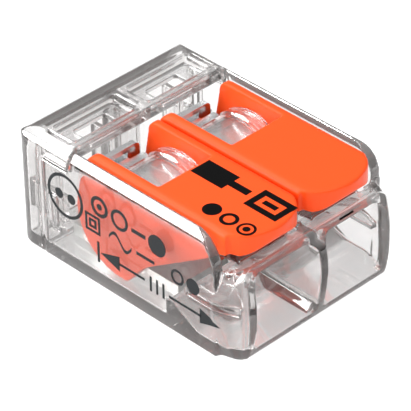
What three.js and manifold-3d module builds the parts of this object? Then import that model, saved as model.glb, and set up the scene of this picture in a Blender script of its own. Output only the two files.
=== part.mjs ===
// A compact two-conductor lever splice connector, in millimetres.
// X runs across the two poles, Y from the wire entries (-Y) to the rear cover (+Y), and Z up from
// the surface that the connector rests on. The origin is at the centre of that bottom face.
import * as THREE from 'three';
import { mergeVertices } from 'three/addons/utils/BufferGeometryUtils.js';
import Module from 'manifold-3d';

const wasm = await Module();
wasm.setup();

// Overall size and poles
const WIDTH = 13.2;
const DEPTH = 18.2;
const HEIGHT = 7.75;
const POLE_PITCH = 5.6;
const POLES = [
  { side: 'left', x: -POLE_PITCH / 2 },
  { side: 'right', x: POLE_PITCH / 2 },
];
const SIDES = [-1, 1];
const HALF_WIDTH = WIDTH / 2;
const BODY_HALF = HALF_WIDTH - 0.1;
const FRONT = -DEPTH / 2;
const REAR = DEPTH / 2;
const BEYOND = 1;

// Housing
const WALL = 0.7;
const FLOOR = 0.55;
const RAMP_START = -5.3;
const INNER = BODY_HALF - WALL;
const COLLAR_BACK = -6.9;
const COLLAR_FRAME_BACK = -8.2;
const GUIDE_RIB_Y = [-7.8, -4.6];
const GUIDE_RIB_Z = [2.9, 3.2];
const GUIDE_RIB_X = 5.0;
const COLLAR_CORNER = 1.4;
const WALL_TAPER = 2.6;
const WALL_TOP = 7.68;
const WALL_TIP_Y = -7.0;
const WALL_FRONT_Y = -6.3;
const COLLAR_TOP = 5.75;
const FRONT_DRAFT = 0.35;
const PARTITION_HALF = 0.27;
const PARTITION_FLARE = 0.55;
const PARTITION_START = -8.5;
const PARTITION_END = -2.95;
const WALL_TIP_INNER = 5.1;
const ENTRY_TOP = 5.3;
const ENTRY_OUTER = 5.15;
const TOP_EDGE = 1.2;
const ROOF_TOP = 5.95;
const ROOF_PLATE = 0.4;
const BRIDGE_HALF = 1.85;
const HOOD_RADIUS = 2.7;
const HOOD_WALL = 0.35;
const HOOD_RIB = [2.3, 2.82];
const HOOD_RIB_WIDTH = 0.9;

// Seam between the housing and the rear cover
const SEAM_TOP_Y = 4.45;
const SEAM_LOW_Y = 6.65;
const SEAM_STEP_Z = 6.5;
const SEAM_GAP = 0.12;
const REAR_CORNER = 1.6;

// Rear cover
const COVER_ROOF = 0.9;
const COVER_FRONT = 4.7;
const COVER_REAR_WALL = 0.9;
const COVER_RIB = 0.35;
const PROBE_HALF = 2.4;
const PROBE_Y = [5.2, 7.1];
const LATCH_Y = 5.8;
const LATCH_HOOK = 0.5;
const LATCH_HALF_Z = 0.9;
const LATCH_Z = 3.2;

// Levers
const PIVOT_Y = 1.05;
const PIVOT_Z = 4.2;
const LEVER_TOP = 7.6;
const DISC_RADIUS = LEVER_TOP - PIVOT_Z;
const LEVER_HALF = 2.72;
const LEVER_PLATE = 0.7;
const LEVER_WINDOW_HALF = LEVER_HALF - LEVER_PLATE;
const LEVER_WINDOW_FRONT = -1.1;
const LEVER_REAR_Y = 4.0;
const LEVER_REAR_CORNER = 0.8;
const LEVER_EDGE = 0.45;
const TIP_Y = -8.4;
const TIP_UNDERSIDE = 6.2;
const TIP_SWEEP = 0.45;
const TIP_CORNER = 2.2;
const TIP_CHIN = 0.75;
const LEVER_SWING = THREE.MathUtils.degToRad(90);

// Contact set: strip spring, its clamping tongue, holding frame and busbar
const STRIP = 0.35;
const STRIP_HALF = 1.7;
const BOW_Y = 0.0;
const BOW_Z = 4.75;
const BOW_RADIUS = 0.8;
const BOW_END = THREE.MathUtils.degToRad(218);
const TONGUE_START = THREE.MathUtils.degToRad(235);
const TONGUE_LENGTH = 3.74;
const TONGUE_SWING = THREE.MathUtils.degToRad(34);
const EAR_ALONG = 2.8;
const EAR_LENGTH = 0.6;
const EAR_HALF = 2.25;
const EAR_CLEARANCE = 0.22;
const CONTACT_HALF = 1.75;
const BUSBAR_BOTTOM = 0.85;
const BUSBAR_TOP = 1.65;
const BUSBAR_LINK = [4.75, 5.95];
const FRAME_Y = 4.4;
const FRAME_THICKNESS = 0.4;
const FRAME_TOP = 6.1;
const WINDOW_HALF = 1.25;
const LEG_Z = 5.45;
const LEG_TAB_HALF = 0.65;

const CLEAR_PLASTIC = { color: '#dfe3e4', roughness: 0.06, metalness: 0, transparent: true, opacity: 0.4 };
const ORANGE_PLASTIC = { color: '#ff6430', roughness: 0.35, metalness: 0 };
const TINNED_COPPER = { color: '#c9cbc8', roughness: 0.3, metalness: 1 };
const SPRING_STEEL = { color: '#d5d7d9', roughness: 0.22, metalness: 1 };

// A closed outline through [u, v, softness] corners; softness is how far a rounding starts before it.
function roundedShape(corners) {
  const shape = new THREE.Shape();
  const points = corners.map(([u, v]) => new THREE.Vector2(u, v));
  corners.forEach(([, , softness = 0], i) => {
    const here = points[i];
    const before = points.at(i - 1);
    const after = points[(i + 1) % points.length];
    const start = before.clone().sub(here).setLength(softness).add(here);
    const end = after.clone().sub(here).setLength(softness).add(here);
    if (i === 0) shape.moveTo(start.x, start.y);
    else shape.lineTo(start.x, start.y);
    if (softness > 0) shape.quadraticCurveTo(here.x, here.y, end.x, end.y);
  });
  return shape;
}

function toSolid(geometry) {
  geometry.deleteAttribute('normal');
  geometry.deleteAttribute('uv');
  const merged = mergeVertices(geometry);
  const vertProperties = new Float32Array(merged.attributes.position.array);
  const triVerts = new Uint32Array(merged.index.array);
  return new wasm.Manifold(new wasm.Mesh({ numProp: 3, vertProperties, triVerts }));
}

function prism(shape, depth, curveSegments, basis, offset) {
  const geometry = new THREE.ExtrudeGeometry(shape, { depth, bevelEnabled: false, curveSegments });
  geometry.applyMatrix4(new THREE.Matrix4().makeBasis(...basis));
  geometry.translate(offset.x, offset.y, offset.z);
  return toSolid(geometry);
}

const X = new THREE.Vector3(1, 0, 0);
const Y = new THREE.Vector3(0, 1, 0);
const Z = new THREE.Vector3(0, 0, 1);

// A (Y, Z) outline carried from x0 to x1
function alongX(shape, x0, x1, curveSegments = 8) {
  return prism(shape, x1 - x0, curveSegments, [Y, Z, X], X.clone().multiplyScalar(x0));
}

// An (X, Z) outline carried from y0 to y1
function alongY(shape, y0, y1, curveSegments = 8) {
  return prism(shape, y1 - y0, curveSegments, [X, Z, Y.clone().negate()], Y.clone().multiplyScalar(y1));
}

// An (X, Y) outline carried from z0 to z1
function alongZ(shape, z0, z1, curveSegments = 8) {
  return prism(shape, z1 - z0, curveSegments, [X, Y, Z], Z.clone().multiplyScalar(z0));
}

function box([x0, x1], [y0, y1], [z0, z1]) {
  const geometry = new THREE.BoxGeometry(x1 - x0, y1 - y0, z1 - z0);
  geometry.translate((x0 + x1) / 2, (y0 + y1) / 2, (z0 + z1) / 2);
  return toSolid(geometry);
}

// The same range on the -X or +X side
function mirrored(side, near, far) {
  return side < 0 ? [-far, -near] : [near, far];
}

function join(solids) {
  return solids.reduce((whole, solid) => whole.add(solid));
}

function cut(solid, tools) {
  return tools.reduce((rest, tool) => rest.subtract(tool), solid);
}

// The outer form that the housing and the rear cover share
function envelope() {
  const plan = roundedShape([
    [-BODY_HALF, COLLAR_BACK - 0.2],
    [BODY_HALF, COLLAR_BACK - 0.2],
    [BODY_HALF, REAR, REAR_CORNER],
    [-BODY_HALF, REAR, REAR_CORNER],
  ]);
  const section = roundedShape([
    [-BODY_HALF, 0, 0.15],
    [BODY_HALF, 0, 0.15],
    [BODY_HALF, HEIGHT, TOP_EDGE],
    [-BODY_HALF, HEIGHT, TOP_EDGE],
  ]);
  return alongZ(plan, 0, HEIGHT).intersect(alongY(section, FRONT, REAR)).add(collarEnvelope());
}

// Around the wire entries the body is a little wider, and bowed from top to bottom.
function collarEnvelope() {
  const plan = roundedShape([
    [-HALF_WIDTH, COLLAR_BACK],
    [-HALF_WIDTH, FRONT + COLLAR_CORNER, 0.6],
    [-HALF_WIDTH + COLLAR_CORNER, FRONT, 0.6],
    [HALF_WIDTH - COLLAR_CORNER, FRONT, 0.6],
    [HALF_WIDTH, FRONT + COLLAR_CORNER, 0.6],
    [HALF_WIDTH, COLLAR_BACK],
  ]);
  const section = roundedShape([
    [-HALF_WIDTH + 0.4, 0, 0.15],
    [HALF_WIDTH - 0.4, 0, 0.15],
    [HALF_WIDTH, 2.4, 0.9],
    [HALF_WIDTH, 4.2, 0.8],
    [HALF_WIDTH - 0.9, ROOF_TOP, 0.5],
    [-HALF_WIDTH + 0.9, ROOF_TOP, 0.5],
    [-HALF_WIDTH, 4.2, 0.8],
    [-HALF_WIDTH, 2.4, 0.9],
  ]);
  return alongZ(plan, 0, ROOF_TOP).intersect(alongY(section, FRONT, COLLAR_BACK));
}

function housingSideOutline() {
  return roundedShape([
    [FRONT + FRONT_DRAFT, 0, 0.25],
    [FRONT, 3.4, 1.1],
    [FRONT, 4.9, 0.35],
    [FRONT + 0.7, COLLAR_TOP, 0.4],
    [WALL_TIP_Y, 5.45, 0],
    [WALL_TIP_Y, 6.05, 0.1],
    [WALL_FRONT_Y, WALL_TOP, 1.4],
    [SEAM_TOP_Y, WALL_TOP, 0],
    [SEAM_TOP_Y, SEAM_STEP_Z, 0],
    [SEAM_LOW_Y, SEAM_STEP_Z, 0],
    [SEAM_LOW_Y, 0, 0],
  ]);
}

function entryOutline(side) {
  const [left, right] = mirrored(side, PARTITION_HALF, ENTRY_OUTER);
  return roundedShape([
    [left, FLOOR, 0.5],
    [right, FLOOR, 0.5],
    [right, ENTRY_TOP, 0.8],
    [left, ENTRY_TOP, 0.8],
  ]);
}

// The collar around the two wire entries, with its roof that slopes up under the lever tips
function entryCollar() {
  const frame = box([-HALF_WIDTH, HALF_WIDTH], [FRONT, COLLAR_FRAME_BACK], [0, COLLAR_TOP + 0.05]);
  const roof = alongX(
    roundedShape([
      [-8.6, ENTRY_TOP],
      [-8.6, 5.6],
      [-7.7, ROOF_TOP],
      [-7.2, ROOF_TOP],
      [-7.2, ENTRY_TOP],
    ]),
    -INNER,
    INNER,
  );
  const entries = SIDES.map((side) => alongY(entryOutline(side), FRONT - BEYOND, COLLAR_FRAME_BACK + 0.3));
  return cut(frame.add(roof), entries);
}

// The side walls thicken inwards towards the collar, where the outer form draws in.
function wallTaper(side) {
  const plan = roundedShape([
    [side * (INNER + WALL / 2), FRONT + WALL_TAPER],
    [side * (INNER + 0.04), FRONT + WALL_TAPER],
    [side * (ENTRY_OUTER - 0.05), FRONT - 0.1],
    [side * (INNER + WALL / 2), FRONT - 0.1],
  ]);
  return alongZ(plan, FLOOR / 2, ENTRY_TOP + 0.07);
}

// The wall between the two wires ends in front of the lever discs, below the lever plates.
function partition() {
  const outline = roundedShape([
    [PARTITION_START, FLOOR / 2],
    [PARTITION_START, ENTRY_TOP],
    [-7.2, COLLAR_TOP + 0.05],
    [PARTITION_END, 3.2, 0.3],
    [PARTITION_END, FLOOR / 2],
  ]);
  const foot = roundedShape([
    [-PARTITION_HALF - PARTITION_FLARE, FLOOR - 0.1],
    [PARTITION_HALF + PARTITION_FLARE, FLOOR - 0.1],
    [PARTITION_HALF, FLOOR + PARTITION_FLARE],
    [-PARTITION_HALF, FLOOR + PARTITION_FLARE],
  ]);
  const wall = alongX(outline, -PARTITION_HALF, PARTITION_HALF);
  return wall.add(alongY(foot, PARTITION_START, PARTITION_END));
}

// Over each pole: the funnel's ceiling, and the see-through hood that is round about the lever pivot
function bridge(x) {
  const ceiling = roundedShape([
    [-7.4, ENTRY_TOP],
    [-7.4, ROOF_TOP],
    [-0.9, ROOF_TOP],
    [-1.05, ROOF_TOP - ROOF_PLATE],
    [-2.6, ROOF_TOP - ROOF_PLATE],
    [-2.9, 4.85],
  ]);
  const hood = new THREE.Shape();
  hood.absarc(PIVOT_Y, PIVOT_Z, HOOD_RADIUS, Math.PI / 4, Math.PI * 0.8, false);
  hood.absarc(PIVOT_Y, PIVOT_Z, HOOD_RADIUS - HOOD_WALL, Math.PI * 0.8, Math.PI / 4, true);
  const left = x - BRIDGE_HALF;
  const right = x + BRIDGE_HALF;
  const rib = new THREE.Shape();
  rib.absarc(PIVOT_Y, PIVOT_Z, HOOD_RIB[1], Math.PI * 0.27, Math.PI * 0.7, false);
  rib.absarc(PIVOT_Y, PIVOT_Z, HOOD_RIB[0], Math.PI * 0.7, Math.PI * 0.27, true);
  const hoodSolid = alongX(hood, left, right, 14).add(alongX(rib, right - HOOD_RIB_WIDTH, right - 0.05, 14));
  return alongX(ceiling, left, right).add(hoodSolid);
}

// The floor rises in front of the busbar, so that a conductor slides up onto it.
function floorRamp(side) {
  const outline = roundedShape([
    [RAMP_START, FLOOR],
    [-3.3, BUSBAR_TOP - 0.05],
    [PARTITION_END, BUSBAR_TOP - 0.05],
    [PARTITION_END, FLOOR / 2],
    [RAMP_START, FLOOR / 2],
  ]);
  const [left, right] = mirrored(side, PARTITION_HALF / 2, INNER + WALL / 2);
  return alongX(outline, left, right);
}

function housing() {
  const parts = [
    box([-HALF_WIDTH, HALF_WIDTH], [FRONT, SEAM_LOW_Y], [0, FLOOR]),
    entryCollar(),
    partition(),
    ...POLES.map(({ x }) => bridge(x)),
  ];
  for (const side of SIDES) {
    parts.push(box(mirrored(side, INNER, HALF_WIDTH), [FRONT, SEAM_LOW_Y], [0, WALL_TOP]));
    parts.push(box(mirrored(side, WALL_TIP_INNER, INNER + WALL / 2), [-7.3, WALL_TIP_Y], [5, ROOF_TOP]));
    parts.push(box(mirrored(side, GUIDE_RIB_X, INNER + WALL / 2), GUIDE_RIB_Y, GUIDE_RIB_Z));
    parts.push(floorRamp(side));
    parts.push(wallTaper(side));
  }
  const outside = envelope().intersect(alongX(housingSideOutline(), -HALF_WIDTH, HALF_WIDTH));
  return cut(join(parts).intersect(outside), SIDES.map(latchPocket));
}

// The rear cover's hooks snap into these pockets in the side walls.
function latchPocket(side) {
  const margin = 0.15;
  return box(
    mirrored(side, INNER - BEYOND, INNER + 0.45),
    [LATCH_Y - margin, LATCH_Y + LATCH_HOOK + margin],
    [LATCH_Z - LATCH_HALF_Z - margin, LATCH_Z + LATCH_HALF_Z + margin],
  );
}

function latchArm(side) {
  const armOuter = INNER - 0.2;
  const heights = [LATCH_Z - LATCH_HALF_Z, LATCH_Z + LATCH_HALF_Z];
  const arm = box(mirrored(side, armOuter - 0.5, armOuter), [LATCH_Y - 0.3, REAR - 0.4], heights);
  const hook = box(mirrored(side, armOuter - 0.1, INNER + 0.25), [LATCH_Y, LATCH_Y + LATCH_HOOK], heights);
  return arm.add(hook);
}

function coverSideOutline() {
  return roundedShape([
    [SEAM_LOW_Y + SEAM_GAP, 0, 0],
    [SEAM_LOW_Y + SEAM_GAP, SEAM_STEP_Z + SEAM_GAP, 0],
    [SEAM_TOP_Y + SEAM_GAP, SEAM_STEP_Z + SEAM_GAP, 0],
    [SEAM_TOP_Y + SEAM_GAP, HEIGHT, 0.15],
    [REAR, HEIGHT, REAR_CORNER],
    [REAR, 0, 0.3],
  ]);
}

// Each pole has a sunken window in the cover's top, with an opening through it for a test probe.
function probeWindow({ x }) {
  const recess = roundedShape([
    [x - PROBE_HALF, PROBE_Y[0], 0.25],
    [x + PROBE_HALF, PROBE_Y[0], 0.25],
    [x + PROBE_HALF, PROBE_Y[1], 0.25],
    [x - PROBE_HALF, PROBE_Y[1], 0.25],
  ]);
  const opening = box([x - 1.2, x + 1.2], [5.8, 6.7], [HEIGHT - 2, HEIGHT + BEYOND]);
  return alongZ(recess, HEIGHT - 0.6, HEIGHT + BEYOND).add(opening);
}

// Grooves that frame the windows: one along the rear rail, and a short one at each side
function coverGrooves() {
  const depth = [HEIGHT - 0.35, HEIGHT + BEYOND];
  const rear = box([-5.3, 5.3], [7.4, 7.6], depth);
  return [rear, ...SIDES.map((side) => box(mirrored(side, 5.45, 5.62), PROBE_Y, depth))];
}

function rearCover() {
  const parts = [
    box([-HALF_WIDTH, HALF_WIDTH], [COVER_FRONT, REAR], [HEIGHT - COVER_ROOF, HEIGHT]),
    box([-HALF_WIDTH, HALF_WIDTH], [REAR - COVER_REAR_WALL, REAR], [0, HEIGHT]),
    box([-HALF_WIDTH, HALF_WIDTH], [SEAM_LOW_Y, REAR], [0, FLOOR]),
    box([-COVER_RIB, COVER_RIB], [6.0, REAR - 0.4], [BUSBAR_TOP + 0.25, HEIGHT - 0.4]),
  ];
  for (const side of SIDES) {
    const cheek = mirrored(side, INNER, HALF_WIDTH);
    parts.push(box(cheek, [SEAM_LOW_Y, REAR], [0, HEIGHT]));
    parts.push(box(cheek, [SEAM_TOP_Y, SEAM_LOW_Y + BEYOND], [SEAM_STEP_Z, HEIGHT]));
    parts.push(box(mirrored(side, INNER - COVER_RIB, INNER + 0.2), [7.1, 7.4], [FLOOR / 2, HEIGHT - 0.4]));
    parts.push(latchArm(side));
  }
  for (const { x } of POLES) {
    for (const side of SIDES) {
      const rib = side * 1.55;
      const span = [Math.min(rib, rib + side * COVER_RIB), Math.max(rib, rib + side * COVER_RIB)];
      parts.push(box([x + span[0], x + span[1]], [6.2, REAR - 0.4], [FLOOR / 2, 5.6]));
    }
  }
  const outside = envelope().intersect(alongX(coverSideOutline(), -HALF_WIDTH, HALF_WIDTH));
  const latches = join(SIDES.map(latchArm));
  const tools = [...coverGrooves(), ...POLES.map(probeWindow)];
  return cut(join(parts).intersect(outside).add(latches), tools);
}

function leverPlateOutline() {
  const shape = new THREE.Shape();
  shape.moveTo(-6.9, LEVER_TOP);
  shape.lineTo(LEVER_REAR_Y - LEVER_REAR_CORNER, LEVER_TOP);
  shape.quadraticCurveTo(LEVER_REAR_Y, LEVER_TOP, LEVER_REAR_Y, LEVER_TOP - LEVER_REAR_CORNER);
  shape.absarc(PIVOT_Y, PIVOT_Z, DISC_RADIUS, Math.PI * 0.1, -Math.PI * 0.555, true);
  shape.lineTo(-0.6, 2.15);
  shape.quadraticCurveTo(-0.9, 2.5, -1.3, 2.76);
  shape.lineTo(-6.2, 5.95);
  shape.quadraticCurveTo(-6.6, TIP_UNDERSIDE, -6.9, TIP_UNDERSIDE);
  return shape;
}

// The lever's tip: swept at the front, and rounded below so that it reads as a shallow lens
function leverTip(x) {
  const plan = roundedShape([
    [x - LEVER_HALF, LEVER_WINDOW_FRONT],
    [x - LEVER_HALF, TIP_Y + TIP_SWEEP, TIP_CORNER],
    [x, TIP_Y, 0.5],
    [x + LEVER_HALF, TIP_Y + TIP_SWEEP, TIP_CORNER],
    [x + LEVER_HALF, LEVER_WINDOW_FRONT],
  ]);
  const side = roundedShape([
    [TIP_Y + 0.6, TIP_UNDERSIDE, 0.6],
    [TIP_Y, LEVER_TOP - 0.55, 0.25],
    [TIP_Y, LEVER_TOP, 0.25],
    [LEVER_WINDOW_FRONT, LEVER_TOP],
    [LEVER_WINDOW_FRONT, TIP_UNDERSIDE, 0.25],
  ]);
  const front = roundedShape([
    [x - LEVER_HALF, TIP_UNDERSIDE, TIP_CHIN],
    [x + LEVER_HALF, TIP_UNDERSIDE, TIP_CHIN],
    [x + LEVER_HALF, LEVER_TOP + BEYOND],
    [x - LEVER_HALF, LEVER_TOP + BEYOND],
  ]);
  return alongZ(plan, TIP_UNDERSIDE, LEVER_TOP)
    .intersect(alongX(side, x - LEVER_HALF, x + LEVER_HALF))
    .intersect(alongY(front, TIP_Y, LEVER_WINDOW_FRONT));
}

// Where the tongue's ear lies in the lever's own frame, at a share of the full swing.
function earInLever(share) {
  const ear = tonguePoint(EAR_ALONG).sub(new THREE.Vector2(BOW_Y, BOW_Z));
  ear.rotateAround(new THREE.Vector2(), TONGUE_SWING * share);
  ear.add(new THREE.Vector2(BOW_Y - PIVOT_Y, BOW_Z - PIVOT_Z));
  return ear.rotateAround(new THREE.Vector2(), LEVER_SWING * share);
}

// The pocket in which an ear travels: its path about the pivot, widened by the ear and a clearance
function camPocketOutline() {
  const steps = 18;
  const halfWidth = Math.hypot(EAR_LENGTH, STRIP) / 2 + EAR_CLEARANCE;
  const outer = [];
  const inner = [];
  for (let step = 0; step <= steps; step += 1) {
    const ear = earInLever(step / steps);
    const reach = ear.length();
    outer.push(ear.clone().setLength(reach + halfWidth));
    inner.push(ear.clone().setLength(reach - halfWidth));
  }
  const capAngle = halfWidth / inner[0].length();
  outer.unshift(outer[0].clone().rotateAround(new THREE.Vector2(), -capAngle));
  inner.unshift(inner[0].clone().rotateAround(new THREE.Vector2(), -capAngle));
  outer.push(outer.at(-1).clone().rotateAround(new THREE.Vector2(), capAngle));
  inner.push(inner.at(-1).clone().rotateAround(new THREE.Vector2(), capAngle));
  const pivot = new THREE.Vector2(PIVOT_Y, PIVOT_Z);
  return new THREE.Shape([...outer, ...inner.reverse()].map((point) => point.add(pivot)));
}

function lever(x) {
  const outline = leverPlateOutline();
  const pocket = camPocketOutline();
  const parts = [leverTip(x)];
  const pockets = [];
  for (const side of SIDES) {
    const [near, far] = mirrored(side, LEVER_WINDOW_HALF, LEVER_HALF);
    parts.push(alongX(outline, x + near, x + far, 14));
    const [start, end] = mirrored(side, LEVER_WINDOW_HALF - BEYOND, EAR_HALF + 0.12);
    pockets.push(alongX(pocket, x + start, x + end));
  }
  const section = roundedShape([
    [x - LEVER_HALF, 0],
    [x + LEVER_HALF, 0],
    [x + LEVER_HALF, LEVER_TOP, LEVER_EDGE],
    [x - LEVER_HALF, LEVER_TOP, LEVER_EDGE],
  ]);
  const rounded = join(parts).intersect(alongY(section, FRONT, REAR, 4));
  return cut(rounded, pockets);
}

function busbar() {
  const heights = [BUSBAR_BOTTOM, BUSBAR_TOP];
  const tongues = POLES.map(({ x }) => box([x - CONTACT_HALF, x + CONTACT_HALF], [-2.6, 5], heights));
  const link = box([-4.55, 4.55], BUSBAR_LINK, heights);
  return join([link, ...tongues]);
}

// Each frame stands on the busbar: the conductor passes its window, and the spring hangs in its slot.
function holdingFrame(x) {
  const span = [FRAME_Y, FRAME_Y + FRAME_THICKNESS];
  const cutSpan = [FRAME_Y - BEYOND, FRAME_Y + FRAME_THICKNESS + BEYOND];
  const outline = roundedShape([
    [x - CONTACT_HALF, BUSBAR_TOP + 0.1],
    [x + CONTACT_HALF, BUSBAR_TOP + 0.1],
    [x + CONTACT_HALF, FRAME_TOP, 0.4],
    [x - CONTACT_HALF, FRAME_TOP, 0.4],
  ]);
  const conductorWindow = roundedShape([
    [x - WINDOW_HALF, 2, 0.3],
    [x + WINDOW_HALF, 2, 0.3],
    [x + WINDOW_HALF, 4.6, 0.6],
    [x - WINDOW_HALF, 4.6, 0.6],
  ]);
  const slotHalf = LEG_TAB_HALF + 0.15;
  const springSlot = box([x - slotHalf, x + slotHalf], cutSpan, [LEG_Z - 0.33, LEG_Z + 0.33]);
  return cut(alongY(outline, ...span), [alongY(conductorWindow, ...cutSpan), springSlot]);
}

function bowPoint(angle) {
  return new THREE.Vector2(BOW_Y + BOW_RADIUS * Math.cos(angle), BOW_Z + BOW_RADIUS * Math.sin(angle));
}

function tonguePoint(distance) {
  const start = bowPoint(TONGUE_START);
  const direction = new THREE.Vector2(-Math.sin(TONGUE_START), Math.cos(TONGUE_START));
  return start.add(direction.multiplyScalar(distance));
}

// A strip of constant thickness that follows a centreline in the (Y, Z) plane
function stripOutline(centreline) {
  const above = [];
  const below = [];
  centreline.forEach((point, i) => {
    const before = centreline[Math.max(i - 1, 0)];
    const after = centreline[Math.min(i + 1, centreline.length - 1)];
    const along = after.clone().sub(before).normalize();
    const across = new THREE.Vector2(-along.y, along.x).multiplyScalar(STRIP / 2);
    above.push(point.clone().add(across));
    below.push(point.clone().sub(across));
  });
  return new THREE.Shape([...above, ...below.reverse()]);
}

// The fixed part of the spring: a leg that hangs in the holding frame, and the bow at its front
function clampSpring(x) {
  const centreline = [
    new THREE.Vector2(4.0, LEG_Z),
    new THREE.Vector2(2.2, LEG_Z),
  ];
  const steps = 16;
  for (let step = 0; step <= steps; step += 1) {
    centreline.push(bowPoint(THREE.MathUtils.lerp(Math.PI * 0.47, BOW_END, step / steps)));
  }
  const strip = alongX(stripOutline(centreline), x - STRIP_HALF, x + STRIP_HALF);
  const tab = box(
    [x - LEG_TAB_HALF, x + LEG_TAB_HALF],
    [3.7, FRAME_Y + FRAME_THICKNESS + 0.5],
    [LEG_Z - STRIP / 2 + 0.03, LEG_Z + STRIP / 2 - 0.03],
  );
  return strip.add(tab);
}

// The clamping leg of the same strip, with the two ears that the lever discs lift
function clampTongue(x) {
  const straight = stripOutline([tonguePoint(0), tonguePoint(TONGUE_LENGTH)]);
  const earStart = tonguePoint(EAR_ALONG - EAR_LENGTH / 2);
  const earEnd = tonguePoint(EAR_ALONG + EAR_LENGTH / 2);
  const leg = alongX(straight, x - STRIP_HALF, x + STRIP_HALF);
  return leg.add(alongX(stripOutline([earStart, earEnd]), x - EAR_HALF, x + EAR_HALF));
}

function toMesh(name, solid, finish) {
  const { vertProperties, triVerts } = solid.getMesh();
  const geometry = new THREE.BufferGeometry();
  geometry.setAttribute('position', new THREE.BufferAttribute(new Float32Array(vertProperties), 3));
  geometry.setIndex(new THREE.BufferAttribute(new Uint32Array(triVerts), 1));
  geometry.computeVertexNormals();
  const mesh = new THREE.Mesh(geometry, new THREE.MeshStandardMaterial(finish));
  mesh.name = name;
  return mesh;
}

const group = new THREE.Group();
group.add(toMesh('housing', housing(), CLEAR_PLASTIC));
group.add(toMesh('rear_cover', rearCover(), CLEAR_PLASTIC));
group.add(toMesh('busbar', busbar(), TINNED_COPPER));
for (const { side, x } of POLES) {
  group.add(toMesh(`lever_${side}`, lever(x), ORANGE_PLASTIC));
  group.add(toMesh(`holding_frame_${side}`, holdingFrame(x), SPRING_STEEL));
  group.add(toMesh(`clamp_spring_${side}`, clampSpring(x), SPRING_STEEL));
  group.add(toMesh(`clamp_tongue_${side}`, clampTongue(x), SPRING_STEEL));
}

export default group;
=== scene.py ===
import math

import bmesh
import bpy
from mathutils import Matrix, Vector
from mathutils.bvhtree import BVHTree


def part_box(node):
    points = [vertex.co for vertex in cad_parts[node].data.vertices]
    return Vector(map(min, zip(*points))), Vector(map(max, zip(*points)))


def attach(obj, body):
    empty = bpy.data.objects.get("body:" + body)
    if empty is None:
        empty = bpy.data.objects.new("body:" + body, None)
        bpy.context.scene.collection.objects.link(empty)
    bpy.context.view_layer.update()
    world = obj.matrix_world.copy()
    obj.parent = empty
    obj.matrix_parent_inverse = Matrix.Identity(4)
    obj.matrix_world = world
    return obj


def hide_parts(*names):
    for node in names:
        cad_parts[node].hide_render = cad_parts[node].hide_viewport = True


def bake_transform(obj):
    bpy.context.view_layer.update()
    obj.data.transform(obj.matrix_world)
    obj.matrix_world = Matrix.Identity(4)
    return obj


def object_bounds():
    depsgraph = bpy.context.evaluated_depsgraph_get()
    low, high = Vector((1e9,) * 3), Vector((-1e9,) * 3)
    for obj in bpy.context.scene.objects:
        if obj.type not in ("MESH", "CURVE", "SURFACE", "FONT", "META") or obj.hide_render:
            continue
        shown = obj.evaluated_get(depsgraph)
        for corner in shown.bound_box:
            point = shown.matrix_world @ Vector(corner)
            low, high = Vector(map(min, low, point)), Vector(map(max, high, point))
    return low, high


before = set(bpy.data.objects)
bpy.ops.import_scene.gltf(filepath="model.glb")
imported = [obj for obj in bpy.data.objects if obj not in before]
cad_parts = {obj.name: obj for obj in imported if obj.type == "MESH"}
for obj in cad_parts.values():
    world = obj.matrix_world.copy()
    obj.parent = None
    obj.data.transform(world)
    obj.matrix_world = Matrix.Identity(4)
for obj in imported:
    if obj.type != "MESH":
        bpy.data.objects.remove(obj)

cad_box = [list(corner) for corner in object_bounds()]

# Pieces are modelled in millimetres in the CAD frame, and scaled to metres when they are made.
MM = 0.001
POLE_PITCH = 5.6
POLES = {"left": -POLE_PITCH / 2, "right": POLE_PITCH / 2}

# Sizes that follow the CAD model
HALF_WIDTH = cad_box[1][0] / MM
LEVER_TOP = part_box("lever_left")[1][2] / MM

# Collar around the wire entries: pairs are (front, back) in Y, (X, Y) and (lower, upper) in Z
COLLAR_TOP = 5.75
COLLAR_RADIUS = 2.3
COLLAR_FADE = (-8.0, -7.05)
COLLAR_CORNER = (5.2, -7.7)
COLLAR_WAIST = (2.6, 3.2)
FOOT_INSET = 0.3
SHOULDER_INSET = 0.45

# Spring: a strip with a leg that hangs in the holding frame, a bow (Y, Z) and a clamping leg
STRIP = 0.35
STRIP_HALF = 1.7
BOW = (0.0, 4.75)
BOW_RADIUS = 0.8
BOW_START = math.radians(85)
BOW_STEPS = 32
LEG_Z = 5.45
LEG_REAR = 4.0
LEG_STEP = 0.2
LEG_STEPS = 10
TONGUE_START = math.radians(235)
TONGUE_LENGTH = 3.74
TONGUE_STEPS = 16
EAR_ALONG = 2.8
EAR_LENGTH = 0.6
EAR_HALF = 2.25
LEG_TAB_HALF = 0.65
LEG_TAB = (3.8, 5.3)
LEG_TAB_THICKNESS = 0.28


# ---------------------------------------------------------------- mesh helpers

def mesh_object(name, bm):
    """A new object from a bmesh in millimetres."""
    mesh = bpy.data.meshes.new(name)
    bm.to_mesh(mesh)
    bm.free()
    piece = bpy.data.objects.new(name, mesh)
    bpy.context.scene.collection.objects.link(piece)
    return piece


def apply_modifiers(piece):
    """Bakes the modifiers into the piece's mesh."""
    graph = bpy.context.evaluated_depsgraph_get()
    mesh = bpy.data.meshes.new_from_object(piece.evaluated_get(graph))
    piece.modifiers.clear()
    old = piece.data
    piece.data = mesh
    bpy.data.meshes.remove(old)


def finish_piece(piece, material, body, replaces=(), smooth=True):
    """Scales a piece to metres, shades it and ties it to its body."""
    piece.data.transform(Matrix.Scale(MM, 4))
    piece.data.materials.clear()
    piece.data.materials.append(material)
    for polygon in piece.data.polygons:
        polygon.use_smooth = smooth
    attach(piece, body)
    if replaces:
        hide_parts(*replaces)
    return piece


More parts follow.
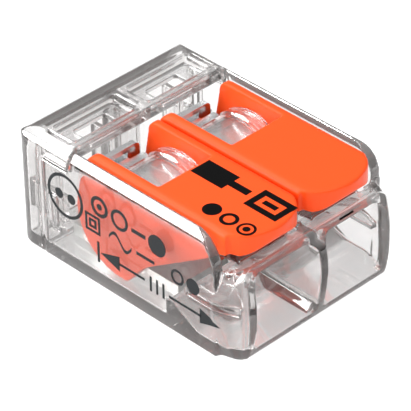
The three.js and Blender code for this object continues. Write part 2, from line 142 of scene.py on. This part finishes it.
def cad_copy(node):
    """A bmesh in millimetres of a CAD node's closed solid."""
    bm = bmesh.new()
    bm.from_mesh(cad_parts[node].data)
    bmesh.ops.scale(bm, vec=(1 / MM, 1 / MM, 1 / MM), verts=bm.verts)
    bmesh.ops.remove_doubles(bm, verts=bm.verts, dist=1e-4)
    return bm


def add_box(bm, x, y, z):
    """Adds a closed box that spans the ranges x, y and z."""
    size = Matrix.Diagonal((x[1] - x[0], y[1] - y[0], z[1] - z[0], 1))
    centre = Matrix.Translation(((x[0] + x[1]) / 2, (y[0] + y[1]) / 2, (z[0] + z[1]) / 2))
    bmesh.ops.create_cube(bm, size=1, matrix=centre @ size)


def moulded(name, bm, voxel, rounds, reshape=None):
    """One closed moulding with small radii on all its edges; reshape may move each of its points."""
    piece = mesh_object(name, bm)
    remesh = piece.modifiers.new("form", "REMESH")
    remesh.mode = "VOXEL"
    remesh.voxel_size = voxel
    remesh.use_smooth_shade = True
    if reshape:
        apply_modifiers(piece)
        for vertex in piece.data.vertices:
            reshape(vertex.co)
    smooth = piece.modifiers.new("radii", "SMOOTH")
    smooth.factor = 0.5
    smooth.iterations = rounds
    apply_modifiers(piece)
    return piece


# ---------------------------------------------------------------- materials

class Nodes:
    """A small helper around one material's node tree."""

    def __init__(self, name):
        self.material = bpy.data.materials.new(name)
        self.material.use_nodes = True
        self.tree = self.material.node_tree
        self.shader = self.tree.nodes["Principled BSDF"]

    def add(self, kind, **values):
        node = self.tree.nodes.new(kind)
        for key, value in values.items():
            if key in node.inputs:
                node.inputs[key].default_value = value
            else:
                setattr(node, key, value)
        return node

    def link(self, source, target):
        self.tree.links.new(source, target)

    def set(self, **values):
        for key, value in values.items():
            self.shader.inputs[key.replace("_", " ")].default_value = value

    def noise(self, scale, detail=3.0, stretch=(1, 1, 1)):
        """Fine variation in the piece's own coordinates, from 0 to 1."""
        coords = self.add("ShaderNodeTexCoord")
        mapping = self.add("ShaderNodeMapping")
        mapping.inputs["Scale"].default_value = stretch
        noise = self.add("ShaderNodeTexNoise", Scale=scale, Detail=detail)
        self.link(coords.outputs["Object"], mapping.inputs["Vector"])
        self.link(mapping.outputs["Vector"], noise.inputs["Vector"])
        return noise.outputs["Fac"]

    def map_range(self, source, low, high):
        node = self.add("ShaderNodeMapRange")
        node.inputs["To Min"].default_value = low
        node.inputs["To Max"].default_value = high
        self.link(source, node.inputs["Value"])
        return node.outputs["Result"]

    def bump(self, source, strength, distance):
        node = self.add("ShaderNodeBump", Strength=strength, Distance=distance)
        self.link(source, node.inputs["Height"])
        self.link(node.outputs["Normal"], self.shader.inputs["Normal"])


def clear_plastic():
    """Clear moulded plastic: refraction, softened by some light that passes straight through."""
    nodes = Nodes("clear_polycarbonate")
    nodes.set(Base_Color=(0.99, 0.99, 0.99, 1), IOR=1.47, Transmission_Weight=1.0)
    nodes.set(Coat_IOR=2.4, Coat_Roughness=0.02)
    # Faces that look up have a glossier skin
    facing = nodes.add("ShaderNodeNewGeometry")
    parts = nodes.add("ShaderNodeSeparateXYZ")
    gloss = nodes.add("ShaderNodeMapRange")
    gloss.inputs["From Min"].default_value = 0.15
    gloss.inputs["From Max"].default_value = 0.6
    nodes.link(facing.outputs["Normal"], parts.inputs["Vector"])
    nodes.link(parts.outputs["Z"], gloss.inputs["Value"])
    nodes.link(gloss.outputs["Result"], nodes.shader.inputs["Coat Weight"])
    # Faint flow marks along the moulding
    flow = nodes.noise(350, stretch=(1, 0.3, 1))
    nodes.link(nodes.map_range(flow, 0.01, 0.04), nodes.shader.inputs["Roughness"])
    straight = nodes.add("ShaderNodeBsdfTransparent")
    straight.inputs["Color"].default_value = (0.97, 0.96, 0.96, 1)
    mix = nodes.add("ShaderNodeMixShader")
    mix.inputs["Fac"].default_value = 0.1
    nodes.link(nodes.shader.outputs["BSDF"], mix.inputs[1])
    nodes.link(straight.outputs["BSDF"], mix.inputs[2])
    output = nodes.tree.nodes["Material Output"]
    nodes.link(mix.outputs["Shader"], output.inputs["Surface"])
    # Thick edges turn a warm grey
    tint = nodes.add("ShaderNodeVolumeAbsorption", Density=560.0)
    tint.inputs["Color"].default_value = (0.62, 0.6, 0.59, 1)
    nodes.link(tint.outputs["Volume"], output.inputs["Volume"])
    return nodes.material


def orange_plastic():
    """Opaque coloured plastic with a fine satin grain."""
    nodes = Nodes("orange_plastic")
    nodes.set(Base_Color=(1.0, 0.088, 0.01, 1), IOR=1.45, Specular_IOR_Level=0.25)
    grain = nodes.noise(9000, detail=4)
    nodes.link(nodes.map_range(grain, 0.33, 0.45), nodes.shader.inputs["Roughness"])
    nodes.bump(grain, 0.15, 0.00001)
    return nodes.material


def rolled_steel():
    """Bright spring steel with fine rolling lines."""
    nodes = Nodes("spring_steel")
    nodes.set(Base_Color=(0.82, 0.83, 0.84, 1), Metallic=1.0)
    rolling = nodes.noise(4000, detail=3, stretch=(1, 0.05, 0.05))
    nodes.link(nodes.map_range(rolling, 0.16, 0.32), nodes.shader.inputs["Roughness"])
    nodes.bump(rolling, 0.1, 0.000005)
    return nodes.material


def tinned_copper():
    """Tin plating with soft, uneven patches of gloss."""
    nodes = Nodes("tinned_copper")
    nodes.set(Base_Color=(0.75, 0.76, 0.74, 1), Metallic=1.0)
    plating = nodes.noise(2500, detail=5)
    nodes.link(nodes.map_range(plating, 0.25, 0.45), nodes.shader.inputs["Roughness"])
    nodes.bump(plating, 0.1, 0.000005)
    return nodes.material


def printing_ink(name, colour):
    """Matt ink with a fine speckle."""
    nodes = Nodes(name)
    nodes.set(Base_Color=colour, Specular_IOR_Level=0.05)
    speckle = nodes.noise(20000, detail=2)
    nodes.link(nodes.map_range(speckle, 0.5, 0.7), nodes.shader.inputs["Roughness"])
    return nodes.material


CLEAR = clear_plastic()
ORANGE = orange_plastic()
STEEL = rolled_steel()
TIN = tinned_copper()
BLACK_INK = printing_ink("black_ink", (0.003, 0.003, 0.003, 1))
GREY_INK = printing_ink("grey_ink", (0.03, 0.032, 0.034, 1))


# ---------------------------------------------------------------- mouldings

def shape_collar(point):
    """Bows the wire-entry collar and rounds its upper outer corners; both fade out behind it."""
    front, back = COLLAR_FADE
    share = min(1, max(0, (back - point.y) / (back - front)))
    outward = Vector((max(0, abs(point.x) - COLLAR_CORNER[0]), max(0, COLLAR_CORNER[1] - point.y)))
    low = max(0, 1 - point.z / COLLAR_WAIST[0])
    high = max(0, point.z - COLLAR_WAIST[1]) / (COLLAR_TOP - COLLAR_WAIST[1])
    if outward.length > 0:
        inset = share * min(1, outward.length) * (FOOT_INSET * low ** 2 + SHOULDER_INSET * high ** 2)
        step = outward.normalized() * inset
        point.x -= math.copysign(step.x, point.x)
        point.y += step.y
    radius = COLLAR_RADIUS * share
    across = abs(point.x) - (HALF_WIDTH - radius)
    above = point.z - (COLLAR_TOP - radius)
    reach = math.hypot(across, above)
    if across > 0 and above > 0 and reach > radius:
        point.x = math.copysign(HALF_WIDTH - radius + across * radius / reach, point.x)
        point.z = COLLAR_TOP - radius + above * radius / reach


def housing():
    piece = moulded("housing_moulding", cad_copy("housing"), voxel=0.08, rounds=4, reshape=shape_collar)
    return finish_piece(piece, CLEAR, "connector_body", ["housing"])


def rear_cover():
    piece = moulded("rear_cover_moulding", cad_copy("rear_cover"), voxel=0.07, rounds=4)
    return finish_piece(piece, CLEAR, "connector_body", ["rear_cover"])


def lever(side):
    piece = moulded(f"lever_{side}_moulding", cad_copy(f"lever_{side}"), voxel=0.06, rounds=14)
    return finish_piece(piece, ORANGE, f"lever_{side}", [f"lever_{side}"])


def metal_node(node, material, body):
    """A stamped part with slightly broken edges."""
    piece = mesh_object(f"{node}_stamping", cad_copy(node))
    bpy.context.view_layer.update()
    bevel = piece.modifiers.new("edges", "BEVEL")
    bevel.width = 0.05
    bevel.segments = 2
    bevel.limit_method = "ANGLE"
    bevel.angle_limit = math.radians(40)
    apply_modifiers(piece)
    return finish_piece(piece, material, body, [node], smooth=False)


# ---------------------------------------------------------------- springs

def bow_point(angle):
    return Vector((BOW[0] + BOW_RADIUS * math.cos(angle), BOW[1] + BOW_RADIUS * math.sin(angle)))


def spring_centreline():
    """The strip from its leg in the holding frame, round the bow and down the clamping leg, in (Y, Z)."""
    points = [Vector((LEG_REAR - LEG_STEP * step, LEG_Z)) for step in range(LEG_STEPS)]
    turn = (TONGUE_START - BOW_START) / BOW_STEPS
    points += [bow_point(BOW_START + turn * step) for step in range(BOW_STEPS + 1)]
    direction = Vector((-math.sin(TONGUE_START), math.cos(TONGUE_START)))
    stride = TONGUE_LENGTH / TONGUE_STEPS
    points += [points[-1] + direction * (stride * step) for step in range(1, TONGUE_STEPS + 1)]
    return points


def strip_solid(centreline, half_width, x):
    """A closed strip of the spring's thickness, with slightly rounded long edges."""
    bm = bmesh.new()
    edge = STRIP * 0.2
    half = STRIP / 2
    section = [(-half_width + edge, -half), (half_width - edge, -half), (half_width, -half + edge),
               (half_width, half - edge), (half_width - edge, half), (-half_width + edge, half),
               (-half_width, half - edge), (-half_width, -half + edge)]
    rings = []
    for i, point in enumerate(centreline):
        before = centreline[max(i - 1, 0)]
        after = centreline[min(i + 1, len(centreline) - 1)]
        along = (after - before).normalized()
        across = Vector((-along.y, along.x))
        ring = []
        for u, w in section:
            place = point + across * w
            ring.append(bm.verts.new((x + u, place.x, place.y)))
        rings.append(ring)
    count = len(section)
    for near, far in zip(rings, rings[1:]):
        for i in range(count):
            j = (i + 1) % count
            bm.faces.new((near[i], near[j], far[j], far[i]))
    bm.faces.new(rings[0])
    bm.faces.new(rings[-1][::-1])
    bmesh.ops.recalc_face_normals(bm, faces=bm.faces)
    return bm


def spring(side):
    """The whole clamping spring in one piece."""
    x = POLES[side]
    line = spring_centreline()
    bm = strip_solid(line, STRIP_HALF, x)
    foot = line[-1 - TONGUE_STEPS]
    direction = (line[-1] - foot).normalized()
    ear = [foot + direction * (EAR_ALONG + EAR_LENGTH * share) for share in (-0.5, -0.25, 0, 0.25, 0.5)]
    ears = strip_solid(ear, EAR_HALF, x)
    tab = bmesh.new()
    tab_heights = (LEG_Z - LEG_TAB_THICKNESS / 2, LEG_Z + LEG_TAB_THICKNESS / 2)
    add_box(tab, (x - LEG_TAB_HALF, x + LEG_TAB_HALF), LEG_TAB, tab_heights)
    for extra in (ears, tab):
        mesh = bpy.data.meshes.new("spring_detail")
        extra.to_mesh(mesh)
        extra.free()
        bm.from_mesh(mesh)
        bpy.data.meshes.remove(mesh)
    piece = mesh_object(f"clamp_spring_{side}_strip", bm)
    piece.data.transform(Matrix.Scale(MM, 4))
    piece.data.materials.append(STEEL)
    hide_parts(f"clamp_spring_{side}", f"clamp_tongue_{side}")
    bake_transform(piece)


# ---------------------------------------------------------------- prints

class Print:
    """Flat marks in (u, v) millimetres, laid on a surface as thin closed patches of ink."""

    THICKNESS = 0.024
    STEP = 0.2

    def __init__(self):
        self.bm = bmesh.new()

    def grid(self, place, columns, rows):
        """A patch of columns by rows cells; place gives (u, v) for shares from 0 to 1."""
        verts = [[self.bm.verts.new((*place(i / columns, j / rows), 0)) for j in range(rows + 1)]
                 for i in range(columns + 1)]
        for i in range(columns):
            for j in range(rows):
                self.bm.faces.new((verts[i][j], verts[i + 1][j], verts[i + 1][j + 1], verts[i][j + 1]))

    def bar(self, u0, u1, v0, v1, taper=0.0):
        """A bar along u. Its end at u1 is narrower by taper on each side."""
        def place(a, b):
            inset = taper * a
            return u0 + (u1 - u0) * a, v0 + inset + (v1 - v0 - 2 * inset) * b
        self.grid(place, max(1, round((u1 - u0) / self.STEP)), max(1, round((v1 - v0) / self.STEP)))

    def arrowhead(self, tip, base, v, half):
        """A solid arrowhead along u, with its point at tip."""
        def place(a, b):
            return tip + (base - tip) * a, v + half * a * (2 * b - 1)
        count = max(2, round(abs(base - tip) / self.STEP))
        if base > tip:
            self.grid(place, count, 4)
        else:
            self.grid(lambda a, b: place(a, 1 - b), count, 4)

    def ring(self, u, v, outer, inner, turns=36):
        """A ring, or a disc if inner is nearly nothing."""
        for turn in range(turns):
            def place(a, b, start=turn):
                angle = 2 * math.pi * (start + a) / turns
                radius = inner + (outer - inner) * b
                return u + radius * math.cos(angle), v + radius * math.sin(angle)
            self.grid(place, 1, max(1, round((outer - inner) / self.STEP)))

    def frame(self, u0, u1, v0, v1, width):
        self.bar(u0, u1, v0, v0 + width)
        self.bar(u0, u1, v1 - width, v1)
        self.bar(u0, u0 + width, v0 + width, v1 - width)
        self.bar(u1 - width, u1, v0 + width, v1 - width)

    def wave(self, u0, u1, v, height, width):
        """One period of an alternating-current sign."""
        def place(a, b):
            return u0 + (u1 - u0) * a, v + height * math.sin(2 * math.pi * a) + width * (b - 0.5)
        self.grid(place, 20, 1)

    def piece(self, name, material, body, slot, surface):
        """surface gives the point and the normal, in millimetres, for a pair (u, v)."""
        bmesh.ops.remove_doubles(self.bm, verts=self.bm.verts, dist=1e-4)
        flat = list(self.bm.faces)
        raised = bmesh.ops.extrude_face_region(self.bm, geom=flat, use_keep_orig=True)
        for item in raised["geom"]:
            if isinstance(item, bmesh.types.BMVert):
                item.co.z = self.THICKNESS
        for vert in self.bm.verts:
            point, normal = surface(vert.co.x, vert.co.y)
            vert.co = point + normal * (vert.co.z - self.THICKNESS / 2)
        bmesh.ops.recalc_face_normals(self.bm, faces=self.bm.faces)
        piece = mesh_object(name, self.bm)
        return finish_piece(piece, material, body, smooth=False)


def left_wall_surface(tree):
    """Marks run forward along the left wall: u is -Y and v is Z."""
    def surface(u, v):
        hit, normal, _, _ = tree.ray_cast(Vector((-HALF_WIDTH - 2, -u, v)) * MM, Vector((1, 0, 0)))
        return hit / MM, normal
    return surface


def collar_surface(tree):
    """Marks on top of the collar: u is X and v is Y."""
    def surface(u, v):
        near, normal, _, _ = tree.find_nearest(Vector((u, v, COLLAR_TOP)) * MM)
        return near / MM, normal
    return surface


def lever_surface(u, v):
    return Vector((v, -u, LEVER_TOP)), Vector((0, 0, 1))


def lever_print():
    """A conductor with its bare end in a terminal, over three kinds of conductor section."""
    marks = Print()
    marks.bar(1.3, 3.7, -2.6, -1.15)
    marks.bar(3.7, 5.1, -2.12, -1.62)
    marks.frame(5.5, 7.9, -2.75, -1.0, 0.4)
    marks.bar(6.2, 7.2, -2.05, -1.7)
    marks.ring(4.7, -4.3, 0.55, 0.01)
    marks.ring(6.0, -4.3, 0.55, 0.33)
    marks.ring(7.3, -4.3, 0.55, 0.4)
    marks.ring(7.3, -4.3, 0.22, 0.01)
    marks.piece("lever_print", BLACK_INK, "lever_left", "orange_plastic", lever_surface)


def wall_print(tree):
    """The left wall: conductor signs, alternating current and double insulation."""
    surface = left_wall_surface(tree)
    marks = Print()
    marks.ring(-4.7, 4.9, 1.45, 1.25)
    marks.ring(-5.2, 4.9, 0.32, 0.01)
    marks.ring(-4.2, 4.9, 0.32, 0.01)
    marks.ring(-1.9, 5.55, 0.68, 0.46)
    marks.ring(-1.9, 5.55, 0.2, 0.01)
    marks.ring(-0.3, 5.45, 0.68, 0.48)
    marks.bar(0.65, 1.75, 5.2, 5.45)
    marks.ring(2.65, 5.25, 0.68, 0.01)
    marks.frame(-3.1, -1.9, 3.55, 4.75, 0.16)
    marks.frame(-2.8, -2.2, 3.85, 4.45, 0.16)
    marks.wave(-1.2, 0.6, 3.95, 0.42, 0.22)
    marks.bar(1.0, 2.4, 3.85, 4.05)
    marks.ring(4.2, 3.95, 0.5, 0.34)
    marks.ring(5.4, 3.95, 0.5, 0.01)
    marks.piece("wall_print", GREY_INK, "connector_body", "clear_plastic", surface)


def strip_gauge(tree):
    """An 11 mm rule along the foot of the wall, with arrowheads at both ends and ticks in the middle."""
    marks = Print()
    marks.bar(-2.2, -2.02, 1.7, 3.1)
    marks.arrowhead(-1.95, -0.4, 2.42, 0.5)
    marks.bar(-0.5, 1.6, 2.34, 2.5)
    for u in (2.0, 2.5, 3.0):
        marks.bar(u, u + 0.16, 1.9, 2.9)
    marks.bar(3.5, 6.0, 2.2, 2.36)
    marks.arrowhead(7.5, 5.9, 2.28, 0.5)
    marks.piece("strip_gauge", GREY_INK, "connector_body", "clear_plastic", left_wall_surface(tree))


def entry_mark(tree):
    """A short bar printed on the collar's edge, above the right wire entry."""
    marks = Print()
    marks.bar(1.9, 3.0, -8.62, -8.42)
    marks.piece("entry_mark", BLACK_INK, "connector_body", "clear_plastic", collar_surface(tree))


housing_piece = housing()
rear_cover()
for side in POLES:
    lever(side)
    metal_node(f"holding_frame_{side}", STEEL, "connector_body")
    spring(side)
metal_node("busbar", TIN, "connector_body")

bpy.context.view_layer.update()
housing_tree = BVHTree.FromObject(housing_piece, bpy.context.evaluated_depsgraph_get())
lever_print()
wall_print(housing_tree)
strip_gauge(housing_tree)
entry_mark(housing_tree)


# ---------------------------------------------------------------- stage, light and camera

def floor():
    bm = bmesh.new()
    bmesh.ops.create_grid(bm, x_segments=2, y_segments=2, size=600)
    piece = mesh_object("studio_floor", bm)
    piece.data.transform(Matrix.Scale(MM, 4))
    piece.location.z = -0.02 * MM
    nodes = Nodes("floor_paper")
    nodes.set(Base_Color=(0.35, 0.35, 0.35, 1), Roughness=0.8, Emission_Strength=0.95)
    nodes.set(Emission_Color=(1, 1, 1, 1))
    piece.data.materials.append(nodes.material)


def area_light(name, location, target, size, power):
    data = bpy.data.lights.new(name, "AREA")
    data.shape = "RECTANGLE"
    data.size, data.size_y = size
    data.energy = power
    light = bpy.data.objects.new(name, data)
    light.location = Vector(location) * MM
    direction = Vector(target) * MM - light.location
    light.rotation_euler = direction.to_track_quat("-Z", "Y").to_euler()
    bpy.context.scene.collection.objects.link(light)
    return light


def light_only(light, pieces):
    """The light reaches these pieces alone."""
    receivers = bpy.data.collections.new(f"{light.name}_receivers")
    for piece in pieces:
        receivers.objects.link(piece)
    light.light_linking.receiver_collection = receivers


def surroundings():
    """A white room: bright overhead and darker towards the horizon."""
    world = bpy.data.worlds.new("studio")
    bpy.context.scene.world = world
    world.use_nodes = True
    tree = world.node_tree
    coords = tree.nodes.new("ShaderNodeTexCoord")
    parts = tree.nodes.new("ShaderNodeSeparateXYZ")
    height = tree.nodes.new("ShaderNodeMapRange")
    height.inputs["From Min"].default_value = 0.0
    height.inputs["From Max"].default_value = 0.8
    height.inputs["To Min"].default_value = 0.08
    height.inputs["To Max"].default_value = 0.7
    tree.links.new(coords.outputs["Generated"], parts.inputs["Vector"])
    tree.links.new(parts.outputs["Z"], height.inputs["Value"])
    tree.links.new(height.outputs["Result"], tree.nodes["Background"].inputs["Strength"])
    tree.nodes["Background"].inputs["Color"].default_value = (1, 1, 1, 1)


def studio():
    """Lights as (place, target) in millimetres, (width, height) in metres and watts."""
    surroundings()
    wall_top = (-6, -2, 7)
    area_light("low_edge_softbox", (-97, 74, 50), wall_top, (0.06, 0.06), 0.1)
    area_light("high_edge_softbox", (-32, 75, 107), wall_top, (0.16, 0.07), 0.13)
    glint = area_light("wall_glint_softbox", (-60, 75, 92), wall_top, (0.13, 0.05), 0.5)
    light_only(glint, [housing_piece])
    area_light("front_softbox", (-120, -60, 55), (0, -8, 3), (0.03, 0.1), 0.05)
    area_light("top_softbox", (20, -30, 150), (0, 0, 4), (0.1, 0.1), 0.05)
    bpy.context.scene.view_settings.view_transform = "Standard"


# The main view: a long lens from the front left, above the object
VIEW_AZIMUTH = math.radians(-44.14)
VIEW_ELEVATION = math.radians(35.46)
VIEW_ROLL = math.radians(-0.89)
VIEW_DISTANCE = 165.39 * MM
VIEW_TARGET = Vector((0, -0.1 * MM, 4.15 * MM))
TARGET_RIGHT_OF_CENTRE = 0.2256 * MM
TARGET_ABOVE_CENTRE = 0.667 * MM
LENS = 258.8


def camera():
    data = bpy.data.cameras.new("camera")
    data.lens = LENS
    data.sensor_width = 36
    data.clip_start = 0.01
    flat = math.cos(VIEW_ELEVATION)
    back = Vector((math.sin(VIEW_AZIMUTH) * flat, -math.cos(VIEW_AZIMUTH) * flat, math.sin(VIEW_ELEVATION)))
    right = (-back).cross(Vector((0, 0, 1))).normalized()
    up = right.cross(-back)
    turn = Matrix.Rotation(-VIEW_ROLL, 3, -back)
    right = turn @ right
    up = turn @ up
    place = VIEW_TARGET + back * VIEW_DISTANCE
    aim = VIEW_TARGET - right * TARGET_RIGHT_OF_CENTRE - up * TARGET_ABOVE_CENTRE
    back = (place - aim).normalized()
    right = up.cross(back).normalized()
    up = back.cross(right)
    view = bpy.data.objects.new("camera", data)
    view.matrix_world = Matrix.Translation(place) @ Matrix((right, up, back)).transposed().to_4x4()
    bpy.context.scene.collection.objects.link(view)
    bpy.context.scene.camera = view


floor()
studio()
camera()
